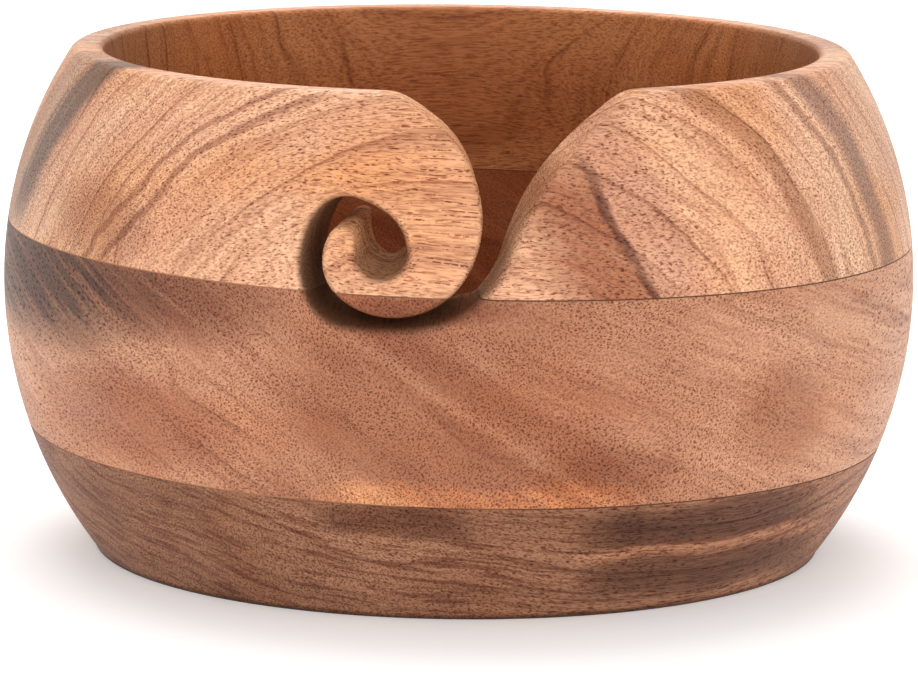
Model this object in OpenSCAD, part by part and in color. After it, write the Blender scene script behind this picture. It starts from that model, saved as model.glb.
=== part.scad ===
// Turned wooden yarn bowl: three thick boards glued face to face, turned on a lathe, with a
// curled yarn slot sawn through the front wall. Millimetres, +Z up, origin at the middle of
// the flat underside, slot on the -Y side.

/* [Bowl] */
// Diameter at the belly, the widest ring
belly_d = 179.4; // [172:0.2:190]
// Height of the belly above the table
belly_h = 53.5; // [46:0.5:58]
// Overall height
bowl_h = 99; // [96:1:106]
// Diameter of the flat underside
base_d = 142.6; // [124:0.2:150]
// Outer diameter of the flat rim
rim_d = 152; // [146:1:158]
// Radius of the eased edges at the rim and the underside
edge_ease = 1; // [0.4:0.1:1.5]

/* [Hollow] */
// Width of the flat rim
rim_w = 5.8; // [5:0.1:8]
// Diameter of the hollow at its widest ring
hollow_d = 150; // [147:0.5:154]
// Height of the hollow's widest ring
hollow_belly_h = 58; // [54:1:62]
// Depth of the straight band inside the rim
lip_h = 5; // [2:0.5:8]
// Thickness of the floor at its middle
floor_t = 13; // [9:0.5:16]
// Diameter of the floor, where the wall's curve runs into it
floor_d = 104; // [90:1:112]

/* [Boards] */
// Height of the upper seam on the bowl's axis
upper_seam_h = 63.8; // [62:0.2:66]
// Height of the lower seam on the bowl's axis
lower_seam_h = 24.2; // [21:0.2:28]
// Lean of the upper seam, lower towards +X, in degrees
upper_seam_lean = 1.1; // [0:0.1:1.6]
// Lean of the lower seam, lower towards +X, in degrees
lower_seam_lean = 0.9; // [0:0.1:1.6]
// Tip of both seams, lower towards -Y, in degrees
seam_tip = 0.25; // [0:0.05:0.6]
// Thickness of the glue in each seam
glue_t = 0.25; // [0.15:0.05:0.4]

/* [Yarn slot] */
// Where the rim starts to roll down into the hook, along the unrolled wall left of the front
hook_start = 16.5; // [15:0.5:18]

/* [Hidden] */

belly_r = belly_d / 2;
base_r = base_d / 2;
rim_r = rim_d / 2;
hollow_r = hollow_d / 2;
floor_r = floor_d / 2;
mouth_r = rim_r - rim_w;
wall_steps = 16;     // Points along each arc of the wall's section
ease_steps = 5;      // Points round each eased edge
floor_rise = 1;      // How much higher the floor is at its edge than at its middle
chord_error = 0.02;  // How far a slot facet may stand off its true arc

// The slot is drawn on the wall unrolled at this radius: across is arc length, up is height.
unroll_r = 85;
// The cutter that follows the slot points at the bowl's axis between these two distances.
cut_near = 52;
cut_far = 96;
cut_above = 8;       // How far the cutter's outline runs on past the rim

// Slot edge from the rim round the hook and back, as [radius, turn] arcs that each start where
// the last one ends, in its direction. Turn is in degrees, with left turns positive.
hook_arcs = [
    [12, -24],   // roll down from the rim
    [46, -10],   // top of the hook
    [20, -90],   // shoulder and front of the hook
    [15, -96],   // underside of the hook, across the seam
    [9, -79],    // back of the hook, rising to its tip
    [2.5, -151], // rounded tip
];
eye_arcs = [
    [11.5, 16],  // inner side of the tip
    [4.5, 169],  // bottom of the eye
    [9, 55],     // right side of the eye
    [20, 16],    // over the eye
    [6.5, 76],   // turn down into the channel
    [16, 55],    // left side of the channel
    [8.5, 56],   // lower left corner of the channel
    [54, 13],    // bottom of the channel
    [20, 64],    // turn up towards the mouth
];
mouth_arcs = [
    [41, -28],   // right side of the mouth, opening out
    [68, -15],   // last flare into the rim
];

function unit(v) = v / norm(v);
function left_of(a) = [-sin(a), cos(a)];

// Circle centre of an arc that starts at p in direction a, and the point after it has turned t.
function arc_centre(p, a, arc) = p + sign(arc[1]) * arc[0] * left_of(a);
function arc_point(p, a, arc, t) = arc_centre(p, a, arc) - sign(arc[1]) * arc[0] * left_of(a + t);
function arc_steps(arc) = ceil(abs(arc[1]) / (2 * acos(1 - chord_error / arc[0])));

// Points along a chain of arcs, without its last point, and that last point.
function walk(p, a, arcs, i = 0) =
    i == len(arcs) ? [] :
    let (n = arc_steps(arcs[i]), turn = arcs[i][1])
    concat([for (k = [0 : n - 1]) arc_point(p, a, arcs[i], turn * k / n)],
           walk(arc_point(p, a, arcs[i], turn), a + turn, arcs, i + 1));
function walk_end(p, a, arcs, i = 0) =
    i == len(arcs) ? p :
    walk_end(arc_point(p, a, arcs[i], arcs[i][1]), a + arcs[i][1], arcs, i + 1);
function turned(arcs, i = 0) = i == len(arcs) ? 0 : arcs[i][1] + turned(arcs, i + 1);

// The slot leaves the rim level, and rolls back level into it at the other end.
slot_first = [-hook_start, bowl_h];
flare_arcs = concat(hook_arcs, eye_arcs, mouth_arcs);
flare_slope = turned(flare_arcs);
roll_r = (bowl_h - walk_end(slot_first, 0, flare_arcs)[1]) / (1 - cos(flare_slope));
slot_arcs = concat(flare_arcs, [[roll_r, -flare_slope]]);
slot_last = walk_end(slot_first, 0, slot_arcs);
slot_outline = concat([slot_first + [0, cut_above]],
                      walk(slot_first, 0, slot_arcs),
                      [slot_last, slot_last + [0, cut_above]]);
hook_outline = concat(walk(slot_first, 0, hook_arcs), [walk_end(slot_first, 0, hook_arcs)]);

// Radius of an arc that bulges to bulge_r at height 0 and comes in to end_r at height dz.
function bulge_radius(bulge_r, end_r, dz) =
    (pow(bulge_r - end_r, 2) + pow(dz, 2)) / (2 * (bulge_r - end_r));
// Radius of the wall at height z on such an arc.
function bulge_at(bulge_r, end_r, dz, z) =
    let (r = bulge_radius(bulge_r, end_r, dz)) bulge_r - r + sqrt(r * r - z * z);

// Rounded corner at b between the straight edges to a and c, walked from a towards c.
function eased(a, b, c, r) =
    let (u = unit(a - b), v = unit(c - b),
         half = acos(u * v) / 2,
         centre = b + unit(u + v) * r / sin(half),
         from = b + u * r / tan(half) - centre,
         to = b + v * r / tan(half) - centre)
    [for (k = [0 : ease_steps])
        let (t = k / ease_steps) centre + r * unit(from * (1 - t) + to * t)];

// Outer wall from the underside to the rim, ends left out because they are eased.
function outer_r(z) =
    z < belly_h ? bulge_at(belly_r, base_r, belly_h, belly_h - z)
                : bulge_at(belly_r, rim_r, bowl_h - belly_h, z - belly_h);
outer_wall = [for (k = [1 : 2 * wall_steps - 1])
    let (z = bowl_h * k / (2 * wall_steps)) [outer_r(z), z]];

// Inner wall from the rim down: a straight lip, then out to the belly and in to the floor.
lip_z = bowl_h - lip_h;
function smooth(t) = (1 - cos(180 * t)) / 2;
inner_upper = [for (k = [0 : wall_steps])
    let (t = k / wall_steps)
    [mouth_r + (hollow_r - mouth_r) * smooth(t), lip_z + (hollow_belly_h - lip_z) * t]];
floor_z = floor_t + floor_rise;
inner_lower = [for (k = [1 : wall_steps])
    let (a = 90 * k / wall_steps)
    [floor_r + (hollow_r - floor_r) * pow(cos(a), 0.7),
     hollow_belly_h - (hollow_belly_h - floor_z) * sin(a)]];

base_corner = [base_r, 0];
rim_corner = [rim_r, bowl_h];
mouth_corner = [mouth_r, bowl_h];
bowl_section = concat(
    [[0, 0]],
    eased([0, 0], base_corner, outer_wall[0], edge_ease),
    outer_wall,
    eased(outer_wall[len(outer_wall) - 1], rim_corner, mouth_corner, edge_ease),
    eased(rim_corner, mouth_corner, inner_upper[0], edge_ease),
    inner_upper,
    inner_lower,
    [[0, floor_t]]);

module bowl() {
    rotate_extrude($fn = 180) polygon(bowl_section);
}

// Everything above a leaning seam plane that crosses the axis at height h.
module above(h, lean) {
    translate([0, 0, h]) rotate([seam_tip, lean, 0])
        translate([-belly_d, -belly_d, 0]) cube([2 * belly_d, 2 * belly_d, 2 * bowl_h]);
}

// The bowl between two heights on the same lean, as one board or one film of glue.
module layer(low, low_lean, high, high_lean) {
    difference() {
        intersection() {
            bowl();
            above(low, low_lean);
        }
        above(high, high_lean);
    }
}

// A cutter that follows an outline on the unrolled front wall, with every side pointing at the
// bowl's axis, so that the slot narrows evenly from the outside in.
module radial_cut(outline) {
    rotate([90, 0, 0]) translate([0, 0, cut_near])
        linear_extrude(height = cut_far - cut_near, scale = [cut_far / cut_near, 1], slices = 1)
            polygon([for (p = outline) [cut_near * tan(p[0] / unroll_r * 180 / PI), p[1]]]);
}

module upper_board() {
    color("#c48f5e") difference() {
        intersection() {
            bowl();
            above(upper_seam_h + glue_t / 2, upper_seam_lean);
        }
        radial_cut(slot_outline);
    }
}

module middle_layer() {
    layer(lower_seam_h + glue_t / 2, lower_seam_lean, upper_seam_h - glue_t / 2, upper_seam_lean);
}

module middle_board() {
    color("#ab7250") difference() {
        middle_layer();
        radial_cut(slot_outline);
        radial_cut(hook_outline);
    }
}

module base_board() {
    color("#86603f") difference() {
        bowl();
        above(lower_seam_h - glue_t / 2, lower_seam_lean);
    }
}

// The chip of the middle board that the slot parts from the rest, glued under the hook.
module hook_heel() {
    color("#a06a48") intersection() {
        middle_layer();
        radial_cut(hook_outline);
    }
}

module upper_glue_layer() {
    layer(upper_seam_h - glue_t / 2, upper_seam_lean, upper_seam_h + glue_t / 2, upper_seam_lean);
}

module upper_glue_line() {
    color("#5a3a24") difference() {
        upper_glue_layer();
        radial_cut(slot_outline);
        radial_cut(hook_outline);
    }
}

module lower_glue_line() {
    color("#5a3a24")
        layer(lower_seam_h - glue_t / 2, lower_seam_lean, lower_seam_h + glue_t / 2, lower_seam_lean);
}

module heel_glue_line() {
    color("#5a3a24") intersection() {
        upper_glue_layer();
        radial_cut(hook_outline);
    }
}

upper_board();
middle_board();
base_board();
hook_heel();
upper_glue_line();
lower_glue_line();
heel_glue_line();
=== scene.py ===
"""The yarn bowl's looks: three turned boards with a curled yarn slot, in procedural wood.

Each board is built as a shell over the bowl's unrolled wall. Across is arc length, up is
height, and every point of that flat drawing has an outer and an inner place on the wall.
"""

import math

import bmesh
import bpy
import numpy as np
from mathutils import Matrix, Vector
from mathutils.geometry import delaunay_2d_cdt


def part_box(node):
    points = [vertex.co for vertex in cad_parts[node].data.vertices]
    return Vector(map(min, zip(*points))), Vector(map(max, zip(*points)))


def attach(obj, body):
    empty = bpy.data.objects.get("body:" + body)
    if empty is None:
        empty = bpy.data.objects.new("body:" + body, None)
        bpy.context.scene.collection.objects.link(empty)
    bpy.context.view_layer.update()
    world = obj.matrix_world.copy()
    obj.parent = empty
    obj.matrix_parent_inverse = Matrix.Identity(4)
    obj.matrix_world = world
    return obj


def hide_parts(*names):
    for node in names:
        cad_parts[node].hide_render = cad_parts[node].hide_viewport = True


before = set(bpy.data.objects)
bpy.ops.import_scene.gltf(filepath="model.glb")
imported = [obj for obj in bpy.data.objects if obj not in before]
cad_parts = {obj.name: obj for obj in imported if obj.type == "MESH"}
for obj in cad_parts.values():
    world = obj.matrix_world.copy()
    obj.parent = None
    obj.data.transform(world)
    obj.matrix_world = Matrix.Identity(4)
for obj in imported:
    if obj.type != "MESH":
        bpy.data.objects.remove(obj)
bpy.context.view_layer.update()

MM = 0.001

# The bowl's section, in millimetres. The belly and the height come from the frame.
BELLY_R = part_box("middle_board")[1][0] / MM
BOWL_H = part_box("upper_board")[1][2] / MM
BELLY_H = 53.5
BASE_R = 71.3
RIM_R = 76
MOUTH_R = 70.2
HOLLOW_R = 75
HOLLOW_BELLY_H = 58
LIP_H = 5
FLOOR_T = 13
FLOOR_RISE = 1
FLOOR_R = 52
EDGE_EASE = 1.0

# Seam planes: height on the axis, and fall per millimetre towards +X and towards -Y.
UPPER_SEAM = (63.8, math.tan(math.radians(1.1)), math.tan(math.radians(0.25)))
LOWER_SEAM = (24.2, math.tan(math.radians(0.9)), math.tan(math.radians(0.25)))
GLUE_T = 0.25
GLUE_SINK = 0.07

# The slot edge as arcs of (radius, turn in degrees, rounding of the outer edge at the arc's end,
# scorch on it there, partly painted shade on the slot's walls), each starting where the last one ends. Left
# turns are positive.
UNROLL_R = 85
HOOK_START = -16.5
HOOK_ARCS = [(12, -24, 1.0, 0), (46, -10, 0.9, 0), (20, -90, 0.8, 0.6), (15, -96, 0.8, 0.3),
             (9, -79, 0.8, 0.1), (2.5, -151, 0.9, 0)]
EYE_ARCS = [(11.5, 16, 1.2, 0.5), (4.5, 169, 2.4, 0.7), (9, 55, 1.0, 0.7), (20, 16, 0.8, 0.6),
            (6.5, 76, 0.9, 0.8), (16, 55, 1.5, 1), (8.5, 56, 2.0, 0.9), (54, 13, 2.2, 0.75),
            (20, 64, 2.4, 0.45)]
MOUTH_ARCS = [(41, -28, 1.0, 0), (68, -15, 0.8, 0)]
INNER_EASE = 1.5

# The slot rises toward the inside at its eye and at its lowest channel. The eye has a middle, a
# rise at the inner face, a reach where the rise fades out, and a height below which there is none.
EYE_AT = (-16, 69)
EYE_RISE = 3.0
EYE_REACH = 14
EYE_FLOOR = 64.4
EYE_FADE, EYE_FLOOR_FADE = 9, 3
CHANNEL_LEFT, CHANNEL_RIGHT, CHANNEL_FADE = -30, 17, 8
CHANNEL_LOW, CHANNEL_LOW_FADE = 51, 7
CHANNEL_TOP, CHANNEL_TOP_FADE = 63.4, 4.2
CHANNEL_RISE = 2.0

# How finely the wall is meshed, in millimetres along it. The front, with the slot, is finer.
FRONT_REACH = 45
FRONT_COLUMN, BACK_COLUMN = 0.6, 2.5
FRONT_GRID, BACK_GRID = 1.5, 3
GRID_LOW, GRID_HIGH = 20, BOWL_H - 1.2
EDGE_PITCH = 0.5
EASE_STEPS = 6
WALL_STEPS = 8

# The last row of points past a rounded edge, as a share of the rounding, at the slot and the rim.
PAST_SLOT, PAST_RIM = 1.35, 1.8

# Least gaps between loose points and the slot edge, a seam, the rim, the cut at the back, and
# between a seam's own points and its crossings with the slot edge.
EDGE_CLEAR, SEAM_CLEAR, RIM_CLEAR, BACK_CLEAR, CROSSING_CLEAR = 0.5, 0.25, 0.05, 0.2, 0.12
TOUCH = 1e-6
WELD = 2e-6
SHARP_ANGLE = math.radians(38)

# Where the slot's marks reach: along the wall from the front, past the slot edge for the sawn
# face, and past it for the scorch, partly painted shade, which spreads further over a wider rounding.
MARK_REACH = 60
CUT_HOLD, CUT_FADE = 1.3, 0.55
SCORCH_SHADE_HOLD, SCORCH_SHADE_SPREAD, SCORCH_SHADE_PER_ROUNDING = 1.2, 0.5, 0.3
HOLLOW_FADE = 0.6

# The bottom board's rows of points.
BASE_COLUMNS = 240
FOOT_RINGS = (18, 36, 54, 66)
SIDE_ROWS, TOP_ROWS, HOLLOW_ROWS, FLOOR_ROWS = 14, 5, 20, 9


# ---- The wall's shape -------------------------------------------------------------------

def bulge(bulge_r, end_r, rise, z):
    """Radius at height z on an arc that bulges to bulge_r at 0 and comes in to end_r at rise."""
    r = ((bulge_r - end_r) ** 2 + rise ** 2) / (2 * (bulge_r - end_r))
    return bulge_r - r + np.sqrt(r * r - z * z)


def outer_radius(z):
    low = bulge(BELLY_R, BASE_R, BELLY_H, np.clip(BELLY_H - z, 0, None))
    high = bulge(BELLY_R, RIM_R, BOWL_H - BELLY_H, np.clip(z - BELLY_H, 0, None))
    return np.where(z < BELLY_H, low, high)


def inner_radius(z):
    lip_z = BOWL_H - LIP_H
    t = np.clip((lip_z - z) / (lip_z - HOLLOW_BELLY_H), 0, 1)
    high = MOUTH_R + (HOLLOW_R - MOUTH_R) * (1 - np.cos(np.pi * t)) / 2
    floor_z = FLOOR_T + FLOOR_RISE
    sine = np.clip((HOLLOW_BELLY_H - z) / (HOLLOW_BELLY_H - floor_z), 0, 1)
    low = FLOOR_R + (HOLLOW_R - FLOOR_R) * (1 - sine ** 2) ** 0.35
    return np.where(z > HOLLOW_BELLY_H, high, low)


def on_wall(s, z, r):
    """Places on the bowl, in millimetres, at arc length s round the front."""
    angle = s / UNROLL_R
    return np.stack([r * np.sin(angle), -r * np.cos(angle), z], axis=-1)


def seam_height(seam, s, r):
    """Height of a seam plane on the circle of radius r."""
    height, fall_x, fall_y = seam
    angle = s / UNROLL_R
    return height - fall_x * r * np.sin(angle) - fall_y * r * np.cos(angle)


def seam_on_outside(seam, s):
    z = np.full_like(s, seam[0])
    for _ in range(3):
        z = seam_height(seam, s, outer_radius(z))
    return z


# ---- The slot's edge --------------------------------------------------------------------

def walk(point, arcs):
    """Points along a chain of arcs as rows of (s, z, into the wood in s and z, rounding, scorch and painted
    shade).
    """
    rows = []
    heading, finish = 0, np.array([1.0, 0])
    for radius, turn, *next_finish in arcs:
        side = math.copysign(1, turn)
        steps = max(3, math.ceil(radius * math.radians(abs(turn)) / EDGE_PITCH))
        centre = point + side * radius * np.array([-math.sin(heading), math.cos(heading)])
        for step in range(steps):
            t = step / steps
            a = heading + math.radians(turn) * t
            place = centre - side * radius * np.array([-math.sin(a), math.cos(a)])
            finish_here = finish + (np.array(next_finish) - finish) * t
            rows.append([*place, math.sin(a), -math.cos(a), *finish_here])
        heading += math.radians(turn)
        point = centre - side * radius * np.array([-math.sin(heading), math.cos(heading)])
        finish = np.array(next_finish)
    rows.append([*point, math.sin(heading), -math.cos(heading), *finish])
    return np.array(rows), heading


def slot_edge():
    """The whole slot edge from the rim round the hook and back to the rim, and the hook's."""
    start = np.array([HOOK_START, BOWL_H])
    arcs = HOOK_ARCS + EYE_ARCS + MOUTH_ARCS
    flare, slope = walk(start, arcs)
    roll_r = (BOWL_H - flare[-1, 1]) / (1 - math.cos(slope))
    whole, _ = walk(start, arcs + [(roll_r, -math.degrees(slope), 1.0, 0)])
    hook, _ = walk(start, HOOK_ARCS)
    whole[-1, 1] = BOWL_H
    return whole, hook


def inside(polygon, points):
    """Which points lie inside a closed polygon."""
    x, y = points[:, 0, None], points[:, 1, None]
    x0, y0 = polygon[:, 0], polygon[:, 1]
    x1, y1 = np.roll(x0, -1), np.roll(y0, -1)
    crosses = (y0 > y) != (y1 > y)
    with np.errstate(divide="ignore", invalid="ignore"):
        at = x0 + (y - y0) / (y1 - y0) * (x1 - x0)
    return (crosses & (x < at)).sum(axis=1) % 2 == 1


HALF_TURN = math.pi * UNROLL_R
SLOT_EDGE, HOOK_EDGE = slot_edge()
ABOVE = BOWL_H + 5
SLOT_AREA = np.vstack([[SLOT_EDGE[0, 0], ABOVE], SLOT_EDGE[:, :2], [SLOT_EDGE[-1, 0], ABOVE]])
HOOK_AREA = HOOK_EDGE[:, :2]
RIM_LEFT = [-HALF_TURN - 9, BOWL_H, 0, -1, EDGE_EASE, 0]
RIM_RIGHT = [HALF_TURN + 9, BOWL_H, 0, -1, EDGE_EASE, 0]
EDGE = np.vstack([RIM_LEFT, SLOT_EDGE, RIM_RIGHT])


def edge_rounding(points):
    """Distance of each point from the rim and slot edge, and the rounding there."""
    a, b = EDGE[:-1], EDGE[1:]
    run = b[:, :2] - a[:, :2]
    length2 = (run ** 2).sum(axis=1)
    distance = np.full(len(points), 1e9)
    ease = np.zeros(len(points))
    for chunk in np.array_split(np.arange(len(points)), max(1, len(points) // 2000)):
        rel = points[chunk, None, :] - a[None, :, :2]
        t = np.clip((rel * run).sum(axis=2) / length2, 0, 1)
        gap = np.linalg.norm(rel - t[..., None] * run, axis=2)
        best = gap.argmin(axis=1)
        row = np.arange(len(chunk))
        distance[chunk] = gap[row, best]
        ease[chunk] = a[best, 4] + (b[best, 4] - a[best, 4]) * t[row, best]
    return distance, ease


def sink(distance, ease):
    """How far a rounded edge has dropped at a distance from it."""
    x = np.clip(1 - distance / ease, 0, 1)
    return ease * (1 - np.sqrt(1 - x * x))


# ---- Shells over the unrolled wall ------------------------------------------------------

def steps_between(low, high, pitch):
    return np.linspace(low, high, max(2, math.ceil((high - low) / pitch) + 1))


COLUMNS = np.concatenate([
    steps_between(-HALF_TURN, -FRONT_REACH, BACK_COLUMN)[:-1],
    steps_between(-FRONT_REACH, FRONT_REACH, FRONT_COLUMN),
    steps_between(FRONT_REACH, HALF_TURN, BACK_COLUMN)[1:],
])


def seam_run(seam, offset):
    """Points along a seam all round the bowl, close together in front."""
    return np.stack([COLUMNS, seam_on_outside(seam, COLUMNS) + offset], axis=-1)


def cut_at(path, height_at):
    """Runs of a path with the points where it crosses the curve height_at(s) added."""
    above = path[:, 1] - height_at(path[:, 0])
    rows = [path[0]]
    for i in range(len(path) - 1):
        if above[i] * above[i + 1] < 0:
            t = above[i] / (above[i] - above[i + 1])
            rows.append(path[i] + (path[i + 1] - path[i]) * t)
        rows.append(path[i + 1])
    return np.array(rows)


# Rows of points through a rounded edge, as shares of its rounding, and one row beyond it.
REACHES = 1 - np.cos(np.pi / 2 * np.arange(1, EASE_STEPS + 1) / EASE_STEPS)
RIM_REACHES = np.append(REACHES, PAST_RIM)


def rings():
    """Rows of points that follow the slot edge and the rim through their rounding."""
    rows = []
    for k, reach in enumerate(np.append(REACHES, PAST_SLOT)):
        edge = SLOT_EDGE[::1 if k < 3 else 2]
        rows.append(edge[:, :2] + edge[:, 2:4] * (edge[:, 4:5] * reach))
    rim = COLUMNS[(COLUMNS < SLOT_EDGE[0, 0]) | (COLUMNS > SLOT_EDGE[-1, 0])]
    for reach in RIM_REACHES:
        rows.append(np.stack([rim, np.full_like(rim, BOWL_H - EDGE_EASE * reach)], axis=-1))
    return np.vstack(rows)


def grid(pitch, reach):
    """Evenly spaced points in staggered rows."""
    rows = []
    for k, z in enumerate(np.arange(GRID_LOW, GRID_HIGH, pitch)):
        s = np.arange(-reach, reach, pitch) + (k % 2) * pitch / 2
        rows.append(np.stack([s, np.full_like(s, z)], axis=-1))
    return np.vstack(rows)


RINGS = rings()
BACK = grid(BACK_GRID, HALF_TURN)
BACK = BACK[(np.abs(BACK[:, 0]) < HALF_TURN - 1) & (np.abs(BACK[:, 0]) > FRONT_REACH)]
FRONT = grid(FRONT_GRID, FRONT_REACH)


def band_points(low, high):
    """Every loose point of the drawing between two runs, clear of them and of the edge."""
    loose = np.vstack([BACK, FRONT])
    distance, ease = edge_rounding(loose)
    loose = np.vstack([loose[distance > ease * PAST_SLOT + EDGE_CLEAR], RINGS])
    low_z = np.interp(loose[:, 0], low[:, 0], low[:, 1])
    high_z = np.interp(loose[:, 0], high[:, 0], high[:, 1])
    high_clear = RIM_CLEAR if high[0, 1] >= BOWL_H else SEAM_CLEAR
    clear = (loose[:, 1] > low_z + SEAM_CLEAR) & (loose[:, 1] < high_z - high_clear)
    keep = loose[clear & (np.abs(loose[:, 0]) < HALF_TURN - BACK_CLEAR)]
    return keep[~inside(SLOT_AREA, keep)]


def triangulate(low, high, keep):
    """Triangles of the flat drawing between two runs, where keep(centres) is true."""
    edge = SLOT_EDGE[:, :2]
    for run in (low, high):
        if run[0, 1] < BOWL_H:
            edge = cut_at(edge, lambda s, run=run: np.interp(s, run[:, 0], run[:, 1]))
    at_low = np.interp(edge[:, 0], low[:, 0], low[:, 1])
    at_high = np.interp(edge[:, 0], high[:, 0], high[:, 1])
    within = (edge[:, 1] > at_low - TOUCH) & (edge[:, 1] < at_high + TOUCH)

    def with_crossings(run, at):
        on = within & (np.abs(edge[:, 1] - at) < TOUCH)
        if on.any():
            run = run[[np.abs(edge[on, 0] - s).min() > CROSSING_CLEAR for s in run[:, 0]]]
        joined = np.vstack([run, edge[on]])
        return joined[joined[:, 0].argsort()]

    low, high = with_crossings(low, at_low), with_crossings(high, at_high)
    points, lines = [], []

    def add_line(rows, linked):
        first = len(points)
        points.extend(rows)
        lines.extend((first + i, first + i + 1) for i in range(len(rows) - 1) if linked[i])

    add_line(low, [True] * len(low))
    add_line(high, [True] * len(high))
    add_line(edge, within[:-1] & within[1:])
    levels = steps_between(low[0, 1], high[0, 1], BACK_GRID)
    if high[0, 1] >= BOWL_H:
        levels = np.concatenate([levels[:-1], BOWL_H - EDGE_EASE * RIM_REACHES[::-1], [BOWL_H]])
    for s in (-HALF_TURN, HALF_TURN):
        add_line([np.array([s, z]) for z in levels], [True] * (len(levels) - 1))
    points.extend(band_points(low, high))
    verts, _, faces, *_ = delaunay_2d_cdt([Vector(p) for p in points], lines, [], 0, 1e-5, False)
    verts = np.array([v[:] for v in verts])
    faces = np.array([f for f in faces if len(f) == 3])
    centres = verts[faces].mean(axis=1)
    low_z = np.interp(centres[:, 0], low[:, 0], low[:, 1])
    high_z = np.interp(centres[:, 0], high[:, 0], high[:, 1])
    good = (centres[:, 1] > low_z) & (centres[:, 1] < high_z) & keep(centres)
    return verts, faces[good]


def smooth(t):
    t = np.clip(t, 0, 1)
    return t * t * (3 - 2 * t)


def slot_rise(s, z):
    """How much higher a part of the slot comes out inside than outside."""
    away = np.hypot(s - EYE_AT[0], z - EYE_AT[1])
    eye = EYE_RISE * smooth((EYE_REACH - away) / EYE_FADE) * smooth((z - EYE_FLOOR) / EYE_FLOOR_FADE)
    across = smooth((s - CHANNEL_LEFT) / CHANNEL_FADE) * smooth((CHANNEL_RIGHT - s) / CHANNEL_FADE)
    low = smooth((z - CHANNEL_LOW) / CHANNEL_LOW_FADE)
    return eye + CHANNEL_RISE * across * low * smooth((CHANNEL_TOP - z) / CHANNEL_TOP_FADE)


def shell(name, low_seam, low_offset, high_seam, high_offset, keep, depth=0.0):
    """A closed piece of the wall between two seams, or up to the rim where high_seam is None."""
    low = seam_run(low_seam, low_offset)
    high = seam_run(high_seam, high_offset) if high_seam else np.stack(
        [COLUMNS, np.full_like(COLUMNS, BOWL_H)], axis=-1)
    verts, faces = triangulate(low, high, keep)
    used, faces = np.unique(faces, return_inverse=True)
    faces = faces.reshape(-1, 3)
    s, z = verts[used].T
    distance, ease = edge_rounding(verts[used])
    outer_r = outer_radius(z) - sink(distance, ease) - depth
    outer = on_wall(s, z, outer_r)

    # The inner face meets the same seam planes, whose height changes a little with radius.
    low_out = seam_on_outside(low_seam, s)
    low_in = seam_height(low_seam, s, inner_radius(low_out))
    shift_low = low_in - low_out
    if high_seam:
        high_out = seam_on_outside(high_seam, s)
        shift_high = seam_height(high_seam, s, inner_radius(high_out)) - high_out
    else:
        high_out, shift_high = np.full_like(s, BOWL_H), 0
    share = np.clip((z - low_out) / (high_out - low_out), 0, 1) if high_seam != low_seam else 0.5
    inner_z = z + shift_low * (1 - share) + shift_high * share + slot_rise(s, z)
    inner_ease = np.full_like(ease, INNER_EASE)
    inner_ease[np.abs(z - BOWL_H) < 3] = EDGE_EASE
    inner_r = inner_radius(inner_z) + sink(distance, inner_ease) + depth
    inner = on_wall(s, inner_z, inner_r)

    count = len(used)
    places = [outer, inner]
    quads = []
    borders = {}
    for face in faces:
        for a, b in zip(face, np.roll(face, -1)):
            if (b, a) in borders:
                borders.pop((b, a))
            else:
                borders[a, b] = True
    cut = np.abs(np.abs(s) - HALF_TURN) < 1e-4
    borders = [(a, b) for a, b in borders if not (cut[a] and cut[b])]
    column = {}
    total = 2 * count
    for v in sorted({v for pair in borders for v in pair}):
        t = np.linspace(0, 1, WALL_STEPS + 1)[1:-1, None]
        places.append(outer[v] * (1 - t) + inner[v] * t)
        column[v] = [v, *range(total, total + WALL_STEPS - 1), count + v]
        total += WALL_STEPS - 1
    for a, b in borders:
        for k in range(WALL_STEPS):
            quads.append((column[b][k], column[a][k], column[a][k + 1], column[b][k + 1]))
    triangles = [tuple(f) for f in faces] + [tuple(count + f[::-1]) for f in faces]
    return make_piece(name, np.vstack(places), triangles + quads)


def surface_marks(places):
    """How much each place belongs to the hollow and to the slot's sawn face, and its scorch and painted shade.
    """
    s = np.arctan2(places[:, 0], -places[:, 1]) * UNROLL_R
    flat = np.stack([s, places[:, 2]], axis=-1)
    near = np.abs(s) < MARK_REACH
    cut, scorch_and_shade = np.zeros(len(places)), np.zeros(len(places))
    gaps = np.linalg.norm(flat[near, None] - SLOT_EDGE[None, :, :2], axis=2)
    gap = np.where(outside_slot(flat[near]), gaps.min(axis=1), 0)
    rounding, scorch_shade = SLOT_EDGE[gaps.argmin(axis=1), 4:].T
    cut[near] = np.clip(CUT_HOLD - gap / CUT_FADE, 0, 1)
    # The scorch here is partly real char and partly painted shade on the slot's walls and edges.
    scorch_and_shade[near] = scorch_shade * np.clip(SCORCH_SHADE_HOLD - gap / (SCORCH_SHADE_SPREAD + SCORCH_SHADE_PER_ROUNDING * rounding), 0, 1)
    depth = inner_radius(places[:, 2]) - np.hypot(places[:, 0], places[:, 1])
    hollow = np.clip(depth / HOLLOW_FADE + 2, 0, 1) * (places[:, 2] > FLOOR_T - 1)
    return {"hollow": hollow, "cut": cut, "scorch_and_shade": scorch_and_shade}


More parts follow.
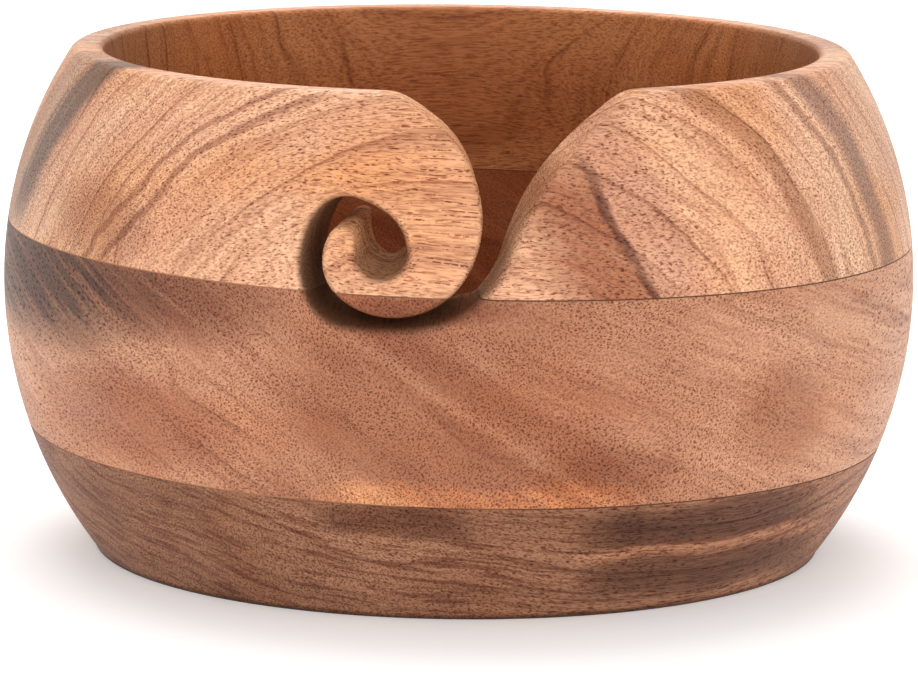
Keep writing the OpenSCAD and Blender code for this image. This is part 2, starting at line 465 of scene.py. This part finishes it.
def make_piece(name, places, faces):
    """A mesh object from places in millimetres, welded, smooth but for its real edges."""
    mesh = bpy.data.meshes.new(name)
    mesh.from_pydata((places * MM).tolist(), [], [tuple(int(i) for i in f) for f in faces])
    for key, numbers in surface_marks(places).items():
        mesh.attributes.new(key, "FLOAT", "POINT").data.foreach_set("value", numbers)
    shape = bmesh.new()
    shape.from_mesh(mesh)
    bmesh.ops.remove_doubles(shape, verts=shape.verts, dist=WELD)
    bmesh.ops.dissolve_degenerate(shape, edges=shape.edges, dist=1e-7)
    open_edges = sum(not e.is_manifold for e in shape.edges)
    if open_edges:
        print(name, "has", open_edges, "open edges")
    shape.to_mesh(mesh)
    shape.free()
    mesh.shade_smooth()
    mesh.set_sharp_from_angle(angle=SHARP_ANGLE)
    piece = bpy.data.objects.new(name, mesh)
    bpy.context.collection.objects.link(piece)
    return piece


def outside_slot(points):
    return ~inside(SLOT_AREA, points)


def outside_opening(points):
    return outside_slot(points) & ~inside(HOOK_AREA, points)


def in_hook(points):
    return inside(HOOK_AREA, points) & outside_slot(points)


def base_rows(s):
    """The bottom board's section as rows of (radius, height): underside, side, top, hollow, floor."""
    top_out = seam_on_outside(LOWER_SEAM, s) - GLUE_T / 2
    top_in = seam_height(LOWER_SEAM, s, inner_radius(top_out)) - GLUE_T / 2
    foot_r = float(outer_radius(np.array(EDGE_EASE))) - EDGE_EASE
    floor_z = FLOOR_T + FLOOR_RISE
    rows = [(r, 0) for r in FOOT_RINGS]
    for k in range(EASE_STEPS + 1):
        a = math.pi / 2 * k / EASE_STEPS
        rows.append((foot_r + EDGE_EASE * math.sin(a), EDGE_EASE * (1 - math.cos(a))))
    for k in range(1, SIDE_ROWS + 1):
        z = EDGE_EASE + (top_out - EDGE_EASE) * k / SIDE_ROWS
        rows.append((outer_radius(z), z))
    for k in range(1, TOP_ROWS + 1):
        t = k / TOP_ROWS
        r = outer_radius(top_out) * (1 - t) + inner_radius(top_in) * t
        rows.append((r, top_out * (1 - t) + top_in * t))
    for k in range(1, HOLLOW_ROWS + 1):
        z = floor_z + (top_in - floor_z) * (1 - math.sin(math.pi / 2 * k / HOLLOW_ROWS))
        rows.append((inner_radius(z), z))
    for k in range(1, FLOOR_ROWS):
        t = k / FLOOR_ROWS
        rows.append((FLOOR_R * (1 - t), floor_z - FLOOR_RISE * t))
    return rows


def base_shell(name):
    """The bottom board, turned in columns that all end on the lower seam."""
    s = np.arange(BASE_COLUMNS) * 2 * math.pi / BASE_COLUMNS * UNROLL_R
    rows = base_rows(s)
    places = [on_wall(*np.broadcast_arrays(s, z, r)) for r, z in rows]
    under_middle = len(rows) * BASE_COLUMNS
    floor_middle = under_middle + 1
    last = under_middle - BASE_COLUMNS
    faces = []
    for first in range(0, last, BASE_COLUMNS):
        for i in range(BASE_COLUMNS):
            n = (i + 1) % BASE_COLUMNS
            second = first + BASE_COLUMNS
            faces.append((first + i, first + n, second + n, second + i))
    for i in range(BASE_COLUMNS):
        n = (i + 1) % BASE_COLUMNS
        faces.append((under_middle, n, i))
        faces.append((floor_middle, last + i, last + n))
    places.append(np.array([[0, 0, 0], [0, 0, FLOOR_T]]))
    return make_piece(name, np.vstack(places), faces)


# ---- Putting the bowl together ----------------------------------------------------------

HALF_GLUE = GLUE_T / 2
BETWEEN_SEAMS = (LOWER_SEAM, HALF_GLUE, UPPER_SEAM, -HALF_GLUE)
UPPER_FILM = (UPPER_SEAM, -HALF_GLUE, UPPER_SEAM, HALF_GLUE)
LOWER_FILM = (LOWER_SEAM, -HALF_GLUE, LOWER_SEAM, HALF_GLUE)
pieces = {
    "upper_board": shell("upper_board_wood", UPPER_SEAM, HALF_GLUE, None, 0, outside_slot),
    "middle_board": shell("middle_board_wood", *BETWEEN_SEAMS, outside_opening),
    "hook_heel": shell("hook_heel_wood", *BETWEEN_SEAMS, in_hook),
    "upper_glue_line": shell("upper_glue_film", *UPPER_FILM, outside_opening, GLUE_SINK),
    "heel_glue_line": shell("heel_glue_film", *UPPER_FILM, in_hook, GLUE_SINK),
    "lower_glue_line": shell("lower_glue_film", *LOWER_FILM, outside_slot, GLUE_SINK),
    "base_board": base_shell("base_board_wood"),
}


# ---- Wood -------------------------------------------------------------------------------

class Wiring:
    """Builds a material's nodes, with short calls that return sockets."""

    def __init__(self, name):
        self.material = bpy.data.materials.new(name)
        self.material.use_nodes = True
        self.tree = self.material.node_tree
        self.shader = self.tree.nodes["Principled BSDF"]

    def put(self, socket, value):
        if isinstance(value, bpy.types.NodeSocket):
            self.tree.links.new(value, socket)
        else:
            socket.default_value = value

    def node(self, kind, inputs=(), **settings):
        node = self.tree.nodes.new(kind)
        for key, value in settings.items():
            setattr(node, key, value)
        for key, value in dict(inputs).items():
            self.put(node.inputs[key], value)
        return node

    def math(self, operation, a, b=0.0):
        return self.node("ShaderNodeMath", {0: a, 1: b}, operation=operation).outputs[0]

    def times(self, a, b):
        return self.math("MULTIPLY", a, b)

    def vector(self, operation, a, b):
        return self.node("ShaderNodeVectorMath", {0: a, 1: b}, operation=operation).outputs[0]

    def mark(self, name):
        """A share that the mesh carries at each point."""
        return self.node("ShaderNodeAttribute", attribute_name=name).outputs["Fac"]

    def along(self, place, direction):
        """How far a place lies along a direction."""
        node = self.node("ShaderNodeVectorMath", {0: place, 1: direction}, operation="DOT_PRODUCT")
        return node.outputs["Value"]

    def noise(self, place, detail=2.0, roughness=0.5, output="Fac"):
        inputs = {"Vector": place, "Scale": 1.0, "Detail": detail, "Roughness": roughness}
        return self.node("ShaderNodeTexNoise", inputs).outputs[output]

    def ease(self, value, start, end):
        """0 before start and 1 after end, smooth between them. start may be the larger."""
        node = self.node("ShaderNodeMapRange", {"Value": value}, interpolation_type="SMOOTHSTEP")
        node.inputs["From Min"].default_value = min(start, end)
        node.inputs["From Max"].default_value = max(start, end)
        node.inputs["To Min"].default_value = float(start > end)
        node.inputs["To Max"].default_value = float(start < end)
        return node.outputs["Result"]

    def band(self, value, centre, half, soft):
        """1 within half of centre, fading to 0 over soft."""
        return self.ease(self.math("ABSOLUTE", self.math("SUBTRACT", value, centre)), half + soft, half)

    def spot(self, place, centre, size):
        """1 round a centre, fading to 0 at the given half sizes."""
        apart = self.vector("DIVIDE", self.vector("SUBTRACT", place, centre), size)
        distance = self.node("ShaderNodeVectorMath", {0: apart}, operation="LENGTH").outputs["Value"]
        return self.ease(distance, 1.0, 0.25)

    def blend(self, share, a, b, mode="MIX"):
        node = self.node("ShaderNodeMix", data_type="RGBA", blend_type=mode)
        self.put(node.inputs["Factor"], share)
        self.put(node.inputs["A"], (*a, 1) if isinstance(a, tuple) else a)
        self.put(node.inputs["B"], (*b, 1) if isinstance(b, tuple) else b)
        return node.outputs["Result"]

    def bump(self, height, strength, depth):
        """Relief from a height of 0 to 1, with its depth in millimetres."""
        node = self.node("ShaderNodeBump", {"Height": height, "Strength": strength, "Distance": depth * MM})
        self.put(self.shader.inputs["Normal"], node.outputs["Normal"])


def unit(v):
    v = np.array(v, dtype=float)
    return v / np.linalg.norm(v)


def grain_frame(w, grain, ring_normal, seed):
    """Place in the board's own axes in mm: along the grain, across the rings, along the rings."""
    along = unit(grain)
    across = unit(np.array(ring_normal) - np.dot(ring_normal, along) * along)
    third = np.cross(along, across)
    place = w.vector("MULTIPLY", w.node("ShaderNodeTexCoord").outputs["Object"], (1 / MM,) * 3)
    parts = [w.along(place, tuple(axis)) for axis in (along, across, third)]
    local = w.node("ShaderNodeCombineXYZ", dict(enumerate(parts))).outputs[0]
    return place, w.vector("ADD", local, (seed, seed * 1.7, seed * 0.6))


def bent(w, place, stretch, amount, seed):
    """The place moved a little by noise of the given sizes, in mm."""
    scaled = w.vector("ADD", w.vector("DIVIDE", place, stretch), (seed, seed, seed))
    colour = w.noise(scaled, detail=1.0, output="Color")
    push = w.vector("MULTIPLY", w.vector("SUBTRACT", colour, (0.5, 0.5, 0.5)), amount)
    return w.vector("ADD", place, push)


def pores(w, local, spacing, size):
    """Open vessels that run along the grain: dots where it is cut across, dashes along it."""
    scaled = w.vector("DIVIDE", local, (1, spacing, spacing))
    parts = w.node("ShaderNodeSeparateXYZ", {0: scaled}).outputs
    flat = w.node("ShaderNodeCombineXYZ", {0: parts[1], 1: parts[2]}).outputs[0]
    cells = w.node("ShaderNodeTexVoronoi", {"Vector": flat, "Scale": 1.0}, voronoi_dimensions="2D")
    own = w.node("ShaderNodeSeparateColor", {0: cells.outputs["Color"]}).outputs[0]
    reach = w.math("ADD", w.times(own, size * 0.6), size * 0.7)
    return w.ease(w.math("DIVIDE", cells.outputs["Distance"], reach), 1.35, 0.6)


def broad_colour(w, local, look):
    """The board's colour, lighter and darker in bands along the grain, and warmer in places."""
    figure = w.noise(w.vector("DIVIDE", local, FIGURE_SIZE), detail=3.0, roughness=0.55)
    colour = w.blend(w.ease(figure, 0.34, 0.68), look["light"], look["mid"])
    hue = w.noise(w.vector("DIVIDE", local, HUE_SIZE), detail=1.0)
    return w.blend(w.times(w.ease(hue, 0.45, 0.7), 0.55), colour, look["warm"])


def ring_lines(w, local, look):
    """Thin late-wood lines across the rings: each darkens slowly, ends sharply and comes and goes."""
    across = w.node("ShaderNodeSeparateXYZ", {0: local}).outputs[1]
    uneven = w.noise(w.vector("DIVIDE", local, RING_UNEVEN_SIZE), detail=2.0)
    count = w.math("ADD", w.math("DIVIDE", across, look["ring_pitch"]), w.times(uneven, 3.0))
    phase = w.math("FRACT", count)
    line = w.math("ADD", w.times(w.ease(phase, 0.70, 0.97), 0.35), w.times(w.ease(phase, 0.89, 0.96), 0.65))
    line = w.times(line, w.ease(phase, 1.0, 0.975))
    strength = w.ease(w.noise(w.vector("DIVIDE", local, RING_PATCH_SIZE), detail=2.0), 0.36, 0.60)
    return w.times(w.times(line, strength), look["ring_strength"])


def stains_and_painted_light(w, colour, zones, streak):
    """A colour with a board's zones on it, stains and painted light and shade, their edges torn along the
    streaks.
    """
    fraying = w.times(w.math("SUBTRACT", streak, 0.5), FRAYING)
    for share, tint in zones:
        torn = w.times(w.math("ADD", share, w.times(fraying, share)), w.ease(share, 0, 0.3))
        colour = w.blend(w.math("MINIMUM", w.math("MAXIMUM", torn, 0.0), 1.0), colour, tint, "MULTIPLY")
    return colour


def all_pores(w, local, look):
    """Wide and narrow pores, whole on end grain and broken along it, and crowded in places."""
    vessels = bent(w, local, *VESSEL_BEND)
    wide = pores(w, vessels, look["pore_spacing"], look["pore_size"])
    vessels = w.vector("ADD", vessels, NARROW_SHIFT)
    narrow = pores(w, vessels, look["pore_spacing"] * NARROW_PITCH, look["pore_size"])
    pore = w.math("MAXIMUM", wide, w.times(narrow, NARROW_SHARE))
    normal = w.node("ShaderNodeTexCoord").outputs["Normal"]
    end_grain = w.ease(w.math("ABSOLUTE", w.along(normal, tuple(unit(look["grain"])))), 0.4, 0.8)
    broken = w.ease(w.noise(w.vector("DIVIDE", local, BREAK_SIZE), detail=1.0), 0.42, 0.54)
    crowd = w.ease(w.noise(w.vector("DIVIDE", local, CROWD_SIZE), detail=2.0), 0.30, 0.55)
    crowd = w.math("ADD", w.times(crowd, 0.45), 0.55)
    return w.times(w.times(pore, crowd), w.math("MAXIMUM", broken, w.times(end_grain, 0.9)))


def wood(name, look, zones):
    """A board's solid wood: ring figure, its own darker zones, streaks, fibres, pores and sawn faces, with
    painted shade inside and at the slot.
    """
    w = Wiring(name)
    place, local = grain_frame(w, look["grain"], look["rings"], look["seed"])
    local = bent(w, bent(w, local, *BROAD_BEND), *FINE_BEND)
    shifted = bent(w, bent(w, place, *ZONE_BEND), *ZONE_RAGGED)
    streak = w.noise(w.vector("DIVIDE", local, look["streak_size"]), detail=3.0, roughness=0.65)
    colour = w.blend(ring_lines(w, local, look), broad_colour(w, local, look), STAIN, "MULTIPLY")
    colour = stains_and_painted_light(w, colour, zones(w, place, shifted), streak)

    # Streaks, fibres and pores darken whatever colour they cross.
    colour = w.blend(w.times(w.ease(streak, 0.56, 0.34), look["streak"]), colour, STAIN, "MULTIPLY")
    fibre = w.noise(w.vector("DIVIDE", local, FIBRE_SIZE), detail=2.0, roughness=0.6)
    colour = w.blend(w.times(w.ease(fibre, 0.55, 0.32), look["fibre"]), colour, STAIN, "MULTIPLY")
    colour = w.blend(w.times(w.ease(fibre, 0.54, 0.72), 0.6), colour, PALE_FIBRE, "MULTIPLY")
    pore = all_pores(w, local, look)
    hollow, cut, scorch_and_shade = [w.mark(mark) for mark in ("hollow", "cut", "scorch_and_shade")]
    shown = w.math("SUBTRACT", look["pore"], w.times(hollow, 0.5))
    colour = w.blend(w.times(pore, shown), colour, PORE_STAIN, "MULTIPLY")

    # The hollow is darkened with painted shade. Sawn faces are duller, and darkest where the cutter ran hot,
    # which is partly painted shade on the slot's walls.
    colour = w.blend(hollow, colour, look["hollow_painted_shade"], "MULTIPLY")
    colour = w.blend(cut, colour, SAWN, "MULTIPLY")
    colour = w.blend(w.times(scorch_and_shade, SCORCH_AND_SHADE_SHARE), colour, SCORCH_AND_SHADE)
    w.put(w.shader.inputs["Base Color"], colour)

    fleck = w.ease(fibre, 0.30, 0.70)
    rough = w.math("ADD", w.times(pore, 0.22), w.times(fleck, 0.10))
    w.put(w.shader.inputs["Roughness"], w.math("ADD", rough, look["roughness"]))
    w.put(w.shader.inputs["Specular IOR Level"], w.times(w.math("SUBTRACT", 1.0, cut), WOOD_SHINE))
    w.bump(w.math("SUBTRACT", w.times(fleck, 0.2), pore), 0.5, PORE_DEPTH)
    return w.material


def upper_zones(w, place, shifted):
    """Stains of the top board: a dark line right of the slot, grey-brown streaks down both sides; painted
    sheen toward the sides and painted shade on the inside walls at the sides.
    """
    x, y, z = w.node("ShaderNodeSeparateXYZ", {0: shifted}).outputs
    side = w.math("ABSOLUTE", x)
    front = w.ease(y, -40, -55)
    right_of_slot = w.along(shifted, tuple(unit((1, 0, 0.545))))
    before_line = w.ease(right_of_slot, 41, 56)
    low = w.times(w.ease(z, 93, 80), front)
    left = w.times(w.ease(x, -20, -30), w.ease(y, 10, -5))
    left_lean = w.along(shifted, tuple(unit((0, 1, 0.40))))
    right_lean = w.along(shifted, tuple(unit((0, 1, 0.20))))
    right = w.times(w.ease(x, 20, 30), w.ease(y, 10, -5))
    return [
        (w.spot(shifted, (-10, -85, 80), (24, 40, 24)), (1.0, 0.88, 0.74)),
        # Painted sheen: less red and bluer toward the sides, standing in for the reflection of the white
        # surroundings.
        (w.ease(side, 48, 84), (0.90, 1.0, 1.06)),
        # Painted shade: darker over the sides toward the back, mostly the inside walls at the left and right.
        (w.times(w.ease(side, 48, 72), w.ease(y, -20, 10)), (0.78, 0.80, 0.86)),
        (w.times(w.times(before_line, w.ease(right_of_slot, 62.6, 60.6)), low), (0.50, 0.34, 0.28)),
        (w.times(w.band(right_of_slot, 61.5, 0.3, 1.2), low), (0.38, 0.30, 0.30)),
        (w.times(w.band(right_of_slot, 66.6, 3, 4), front), (0.82, 0.76, 0.80)),
        (w.times(w.band(left_lean, -30.5, 0.2, 0.8), left), (0.58, 0.48, 0.47)),
        (w.times(w.band(left_lean, -27, 0.2, 0.7), left), (0.60, 0.50, 0.48)),
        (w.spot(shifted, (-67, -55, 72), (13, 40, 11)), (0.72, 0.62, 0.58)),
        (w.times(w.band(left_lean, 4, 2, 6), w.times(left, w.ease(z, 62, 74))), (0.28, 0.29, 0.33)),
        (w.times(w.band(left_lean, 15, 4, 6), left), (0.66, 0.66, 0.69)),
        (w.times(w.band(right_lean, -22, 1, 5), right), (0.50, 0.47, 0.50)),
        (w.times(w.band(right_lean, -29, 0.3, 1.2), right), (0.62, 0.55, 0.55)),
        (w.times(w.band(right_lean, -42, 1, 2), right), (0.66, 0.58, 0.52)),
    ]


def middle_zones(w, place, shifted):
    """Stains of the middle board, which runs front to back: each keeps its place across and in height. Painted
    light pales the sides and painted shade darkens the front's middle.
    """
    x, y, z = w.node("ShaderNodeSeparateXYZ", {0: shifted}).outputs
    slant = w.along(shifted, tuple(unit((0.57, 0, 0.82))))
    front = w.ease(y, 0, -20)
    return [
        # Painted light and sheen: paler and bluer toward the sides.
        (w.ease(w.math("ABSOLUTE", x), 45, 80), (1.0, 1.07, 1.13)),
        # Painted shade: the middle of the front is darker.
        (w.times(w.band(x, 6, 26, 22), front), (0.86, 0.79, 0.76)),
        (w.times(w.band(slant, 24, 4, 8), w.band(x, -6, 16, 16)), (0.80, 0.70, 0.66)),
        (w.times(w.band(slant, 40, 1.5, 4), w.band(x, -5, 30, 20)), (0.80, 0.70, 0.65)),
        (w.times(w.band(slant, 33, 0.5, 2), w.band(x, 15, 24, 14)), (0.82, 0.72, 0.66)),
        (w.times(w.ease(z, 30, 26), w.band(x, 4, 18, 18)), (1.48, 1.46, 1.22)),
        (w.spot(shifted, (-82, -30, 60), (44, 90, 19)), (0.20, 0.195, 0.215)),
        (w.spot(shifted, (-50, -60, 60), (27, 60, 12)), (0.50, 0.40, 0.38)),
        (w.spot(shifted, (61, -60, 38), (12, 60, 14)), (0.74, 0.64, 0.58)),
        (w.spot(shifted, (-60, -60, 36), (30, 60, 13)), (0.74, 0.62, 0.60)),
        (w.spot(shifted, (28, -80, 30), (18, 60, 7)), (0.78, 0.70, 0.66)),
        (w.spot(place, (-4, -89, 61.5), (20, 9, 4)), (0.62, 0.50, 0.45)),
    ]


def base_zones(w, place, shifted):
    """Stains of the bottom board, darker toward the left, and painted shade at the foot. Its figure lies
    nearly flat, so the dark bands run round the wall.
    """
    x, y, z = w.node("ShaderNodeSeparateXYZ", {0: shifted}).outputs
    right = w.band(x, 46, 14, 14)
    foot = w.node("ShaderNodeSeparateXYZ", {0: place}).outputs[2]
    return [
        (w.times(w.band(z, 18.5, 2, 4), right), (0.40, 0.36, 0.35)),
        (w.times(w.band(z, 8, 2.5, 4), right), (0.48, 0.44, 0.42)),
        (w.times(w.band(z, 13, 0.8, 2), right), (1.5, 1.5, 1.5)),
        (w.times(w.band(z, 20, 1.5, 3), w.band(x, -12, 8, 10)), (0.55, 0.48, 0.46)),
        (w.ease(x, -5, -50), (0.84, 0.84, 0.83)),
        # Painted shade: the lowest 1.5 mm is darkened, the foot's edge and the whole underside, in place of a
        # contact shadow.
        (w.ease(foot, 1.5, 0.2), (0.25, 0.22, 0.22)),
    ]


# Sizes of the noise along the grain, across the rings and along them, in millimetres.
FIGURE_SIZE = (170, 13, 40)
HUE_SIZE = (60, 22, 22)
RING_UNEVEN_SIZE = (200, 18, 60)
RING_PATCH_SIZE = (70, 9, 30)
FIBRE_SIZE = (4, 0.36, 0.36)
BREAK_SIZE = (0.9, 0.7, 0.7)
CROWD_SIZE = (60, 8, 14)

# Bends of the figure, of the pores' rows and of the zones' edges: size, amount and seed.
BROAD_BEND = ((90, 34, 34), (0, 9, 9), 3.1)
FINE_BEND = ((22, 7, 7), (0, 1.3, 1.3), 8.2)
VESSEL_BEND = ((9, 1.6, 1.6), (0, 1.0, 1.0), 11.7)
ZONE_BEND = ((26, 26, 20), (5, 5, 5), 5.5)
ZONE_RAGGED = ((5, 5, 4), (1.6, 1.6, 1.6), 2.5)
FRAYING = 2.4

# The narrow pores' spacing and darkness as shares of the wide ones', and their own shift.
NARROW_PITCH = 0.62
NARROW_SHARE = 0.55
NARROW_SHIFT = (0, 7.3, 4.1)
PORE_DEPTH = 0.08

# Colours that multiply the wood, and the colour of scorched wood, which also paints shade on the slot's walls.
STAIN = (0.52, 0.39, 0.34)
PALE_FIBRE = (1.25, 1.23, 1.2)
PORE_STAIN = (0.34, 0.17, 0.12)
SAWN = (0.86, 0.88, 0.86)
SCORCH_AND_SHADE = (0.085, 0.040, 0.022)
SCORCH_AND_SHADE_SHARE = 0.9
WOOD_SHINE = 0.2
# In each look, the tint for the hollow is painted shade that darkens the inside of the bowl.
LOOKS = {
    "upper": {
        "grain": (1, 0.02, -0.03), "rings": (0, 1, 0.3), "seed": 40.0,
        "ring_pitch": 6.5, "ring_strength": 0.8,
        "light": (0.93, 0.53, 0.32), "mid": (0.80, 0.40, 0.23), "warm": (0.86, 0.40, 0.17),
        "hollow_painted_shade": (0.66, 0.475, 0.295),
        "streak_size": (120, 1.3, 24), "streak": 0.45, "fibre": 0.8,
        "pore": 0.95, "pore_spacing": 0.62, "pore_size": 0.215, "roughness": 0.42,
    },
    "middle": {
        "grain": (0.05, 1, 0.12), "rings": (0.57, 0, 0.82), "seed": 90.0,
        "ring_pitch": 13, "ring_strength": 0.4,
        "light": (0.66, 0.335, 0.195), "mid": (0.53, 0.24, 0.135), "warm": (0.60, 0.25, 0.118),
        "hollow_painted_shade": (0.70, 0.47, 0.29),
        "streak_size": (120, 1.6, 24), "streak": 0.35, "fibre": 0.6,
        "pore": 0.92, "pore_spacing": 0.68, "pore_size": 0.235, "roughness": 0.44,
    },
    "base": {
        "grain": (0.77, 0.64, 0.03), "rings": (0.12, -0.25, 1), "seed": 150.0,
        "ring_pitch": 8, "ring_strength": 0.6,
        "light": (0.47, 0.235, 0.132), "mid": (0.33, 0.15, 0.079), "warm": (0.375, 0.16, 0.075),
        "hollow_painted_shade": (0.90, 0.65, 0.50),
        "streak_size": (30, 1.0, 9), "streak": 1.0, "fibre": 1.0,
        "pore": 0.9, "pore_spacing": 0.66, "pore_size": 0.22, "roughness": 0.46,
    },
}


def glue():
    """A dried film of wood glue. Sanding dust has settled in it and darkened it toward the right."""
    w = Wiring("glue")
    place = w.vector("MULTIPLY", w.node("ShaderNodeTexCoord").outputs["Object"], (1 / MM,) * 3)
    patch = w.times(w.noise(w.vector("DIVIDE", place, (14, 14, 3)), detail=3.0), 90)
    dusty = w.ease(w.math("ADD", w.along(place, (1, 0, 0)), patch), 5, 60)
    colour = w.blend(dusty, (0.44, 0.20, 0.105), (0.12, 0.05, 0.028))
    # Painted shade: the film is darker inside the hollow.
    colour = w.blend(w.mark("hollow"), colour, (0.22, 0.08, 0.03))
    colour = w.blend(w.mark("cut"), colour, SAWN, "MULTIPLY")
    # Partly scorch, partly painted shade on the slot's walls.
    colour = w.blend(w.times(w.mark("scorch_and_shade"), SCORCH_AND_SHADE_SHARE), colour, SCORCH_AND_SHADE)
    w.put(w.shader.inputs["Base Color"], colour)
    w.shader.inputs["Roughness"].default_value = 0.55
    w.shader.inputs["Specular IOR Level"].default_value = 0.1
    w.bump(w.noise(w.vector("DIVIDE", place, (0.4, 0.4, 0.4)), detail=2.0), 0.4, 0.03)
    return w.material


SKINS = {
    "upper_board": wood("upper_wood", LOOKS["upper"], upper_zones),
    "middle_board": wood("middle_wood", LOOKS["middle"], middle_zones),
    "base_board": wood("base_wood", LOOKS["base"], base_zones),
    "glue": glue(),
}
SKINS["hook_heel"] = SKINS["middle_board"]
for node, piece in pieces.items():
    piece.data.materials.append(SKINS["glue"] if "glue" in node else SKINS[node])
    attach(piece, "root")
    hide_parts(node)


# ---- Stage ------------------------------------------------------------------------------

# Metres here, as Blender has them.
CAMERA_AT = Vector((0, -1.0195, 0.2194))
CAMERA_DOWN = math.radians(10.02)
CAMERA_ROLL = math.radians(0.62)
LENS = 204.6
SHIFT_X = 0.0011

# The tent's strength at the horizon and from a height upward, as a share of straight up.
TENT_LOW = 1.25
TENT_HIGH = 0.78
TENT_HIGH_FROM = 0.7

# The soft boxes: name, place, size and power. Both aim at the middle of the bowl.
SOFT_BOXES = [("soft_box_above", (-0.08, 0.55, 1.25), 1.2, 12), ("soft_box_front", (0.7, -1.6, 0.6), 0.9, 2.5)]
AIM = Vector((0, 0, 0.05))
FLOOR_SHADE = (0.9, 0.9, 0.9, 1)
FLOOR_GLOW = 0.25
FLOOR_Z = 0.0001
FLOOR_HALF = 6
WHITE = (1, 1, 1, 1)


def add_camera():
    data = bpy.data.cameras.new("camera")
    data.sensor_fit = "HORIZONTAL"
    data.sensor_width = 36
    data.lens = LENS
    data.shift_x = SHIFT_X
    data.clip_end = 20
    camera = bpy.data.objects.new("camera", data)
    look = Vector((0, math.cos(CAMERA_DOWN), -math.sin(CAMERA_DOWN)))
    level = Vector((1, 0, 0))
    rise = level.cross(look)
    right = level * math.cos(CAMERA_ROLL) + rise * math.sin(CAMERA_ROLL)
    up = rise * math.cos(CAMERA_ROLL) - level * math.sin(CAMERA_ROLL)
    turn = Matrix((right, up, -look)).transposed().to_4x4()
    camera.matrix_world = Matrix.Translation(CAMERA_AT) @ turn
    bpy.context.collection.objects.link(camera)
    bpy.context.scene.camera = camera


def add_floor():
    """A pale floor, a hair above the foot so that the two don't lie in one plane."""
    mesh = bpy.data.meshes.new("floor")
    corners = [(-1, -1), (1, -1), (1, 1), (-1, 1)]
    mesh.from_pydata([(x * FLOOR_HALF, y * FLOOR_HALF, FLOOR_Z) for x, y in corners], [], [(0, 1, 2, 3)])
    floor = bpy.data.objects.new("floor", mesh)
    bpy.context.collection.objects.link(floor)
    material = bpy.data.materials.new("pale_floor")
    material.use_nodes = True
    shader = material.node_tree.nodes["Principled BSDF"]
    shader.inputs["Base Color"].default_value = FLOOR_SHADE
    shader.inputs["Roughness"].default_value = 0.9
    shader.inputs["Emission Color"].default_value = WHITE
    shader.inputs["Emission Strength"].default_value = FLOOR_GLOW
    mesh.materials.append(material)


def add_soft_box(name, place, size, power):
    data = bpy.data.lights.new(name, "AREA")
    data.shape = "DISK"
    data.size = size
    data.energy = power
    lamp = bpy.data.objects.new(name, data)
    lamp.location = place
    lamp.rotation_euler = (AIM - Vector(place)).to_track_quat("-Z", "Y").to_euler()
    bpy.context.collection.objects.link(lamp)


def add_light():
    """A light tent, with a soft box above and behind the bowl and a weak one in front."""
    world = bpy.data.worlds.new("studio")
    world.use_nodes = True
    tree = world.node_tree
    height = tree.nodes.new("ShaderNodeSeparateXYZ")
    fade = tree.nodes.new("ShaderNodeMapRange")
    fade.inputs["From Max"].default_value = TENT_HIGH_FROM
    fade.inputs["To Min"].default_value = TENT_LOW
    fade.inputs["To Max"].default_value = TENT_HIGH
    tree.links.new(tree.nodes.new("ShaderNodeTexCoord").outputs["Generated"], height.inputs[0])
    tree.links.new(height.outputs["Z"], fade.inputs["Value"])
    tree.links.new(fade.outputs["Result"], tree.nodes["Background"].inputs["Strength"])
    tree.nodes["Background"].inputs["Color"].default_value = WHITE
    bpy.context.scene.world = world
    for soft_box in SOFT_BOXES:
        add_soft_box(*soft_box)


bpy.context.scene.view_settings.view_transform = "Standard"
add_camera()
add_floor()
add_light()
